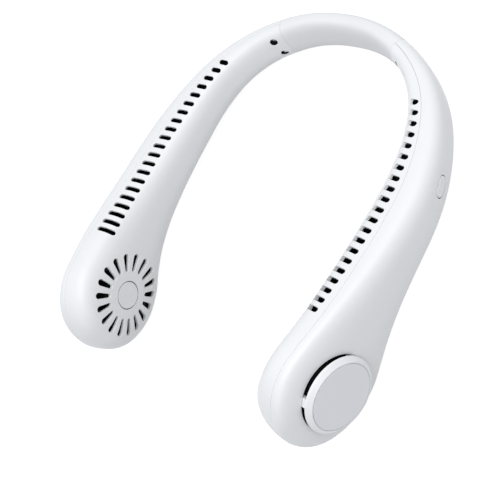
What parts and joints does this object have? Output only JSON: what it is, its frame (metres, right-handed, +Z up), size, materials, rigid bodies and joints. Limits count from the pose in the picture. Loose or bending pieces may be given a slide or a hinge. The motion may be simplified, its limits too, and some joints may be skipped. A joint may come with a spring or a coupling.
{
  "type": "neck fan",
  "caption": "Wearable neck fan: a soft springy band joins hollow arms that end in round blower heads, with air slots along the top and a bevelled intake cover.",
  "frame": {"origin": "Middle of the bounding box's footprint, on the surface that the heads and the band stand on.", "axes": "+X points to the wearer's left, +Y to the back of the neck, +Z up. The blower heads are at the -Y end and the neck band is at the +Y end."},
  "size_m": [0.1844, 0.2018, 0.0596],
  "materials": {
    "shell": "satin",
    "cover_trim": "satin",
    "cover_face": "fine matt",
    "cap_trim": "satin",
    "button_plastic": "satin",
    "soft_band": "soft matt",
    "duct_plastic": "moulded",
    "impeller_plastic": "moulded",
    "black_plastic": "moulded",
    "steel": "bright",
    "spring_steel": "blued",
    "stator_steel": "laminated",
    "sintered_bronze": "sintered",
    "copper_wire": "enamelled winding",
    "magnet": "bonded",
    "circuit_board": "solder mask",
    "cell_wrap": "shrink sleeve",
    "wire_jacket": "smooth",
    "plunger_plastic": "moulded"
  },
  "bodies": {
    "right_arm": {"right_inner_shell": "shell", "right_outer_shell": "shell", "right_intake_cover": "cover_trim", "right_cover_inlay": "cover_face", "right_side_cap": "cap_trim", "right_shaft_bearing": "sintered_bronze", "right_stator_core": "stator_steel", "right_stator_coils": "copper_wire", "right_motor_board": "circuit_board", "right_motor_base": "black_plastic", "right_motor_screws": "steel", "right_duct_floor": "duct_plastic", "right_battery_cell": "cell_wrap", "right_motor_leads": "wire_jacket", "right_band_plug": "black_plastic", "right_band_screws": "steel", "neck_band": "soft_band", "band_core": "spring_steel", "band_cable": "wire_jacket"},
    "left_arm": {"left_inner_shell": "shell", "left_outer_shell": "shell", "left_intake_cover": "cover_trim", "left_cover_inlay": "cover_face", "left_side_cap": "cap_trim", "left_shaft_bearing": "sintered_bronze", "left_stator_core": "stator_steel", "left_stator_coils": "copper_wire", "left_motor_board": "circuit_board", "left_motor_base": "black_plastic", "left_motor_screws": "steel", "left_duct_floor": "duct_plastic", "left_battery_cell": "cell_wrap", "left_motor_leads": "wire_jacket", "left_band_plug": "black_plastic", "left_band_screws": "steel", "main_board": "circuit_board", "board_screws": "steel", "tact_switch": "black_plastic", "usb_socket": "steel"},
    "left_rotor": {"left_impeller": "impeller_plastic", "left_rotor_can": "steel", "left_magnet_ring": "magnet", "left_motor_shaft": "steel"},
    "right_rotor": {"right_impeller": "impeller_plastic", "right_rotor_can": "steel", "right_magnet_ring": "magnet", "right_motor_shaft": "steel"},
    "power_key": {"power_button": "button_plastic", "switch_plunger": "plunger_plastic"}
  },
  "joints": [
    {"name": "neck_flex", "type": "hinge", "parent": "right_arm", "child": "left_arm", "pos_m": [0, 0.09488, 0.01018], "axis": [0, 0, 1], "range_deg": [-6, 24], "stiffness_Nm_per_rad": 0.7, "deforming": ["neck_band", "band_core", "band_cable"]},
    {"name": "left_rotor_spin", "type": "hinge", "parent": "left_arm", "child": "left_rotor", "pos_m": [0.07699, -0.07109, 0.02967], "axis": [-0.9867, 0.1572, -0.0418], "continuous": true},
    {"name": "right_rotor_spin", "type": "hinge", "parent": "right_arm", "child": "right_rotor", "pos_m": [-0.07699, -0.07109, 0.02967], "axis": [0.9867, 0.1572, -0.0418], "continuous": true},
    {"name": "power_key_press", "type": "slide", "parent": "left_arm", "child": "power_key", "axis": [-0.9812, -0.1865, 0.0496], "range_m": [0, 0.0006], "stiffness_N_per_m": 2500}
  ]
}
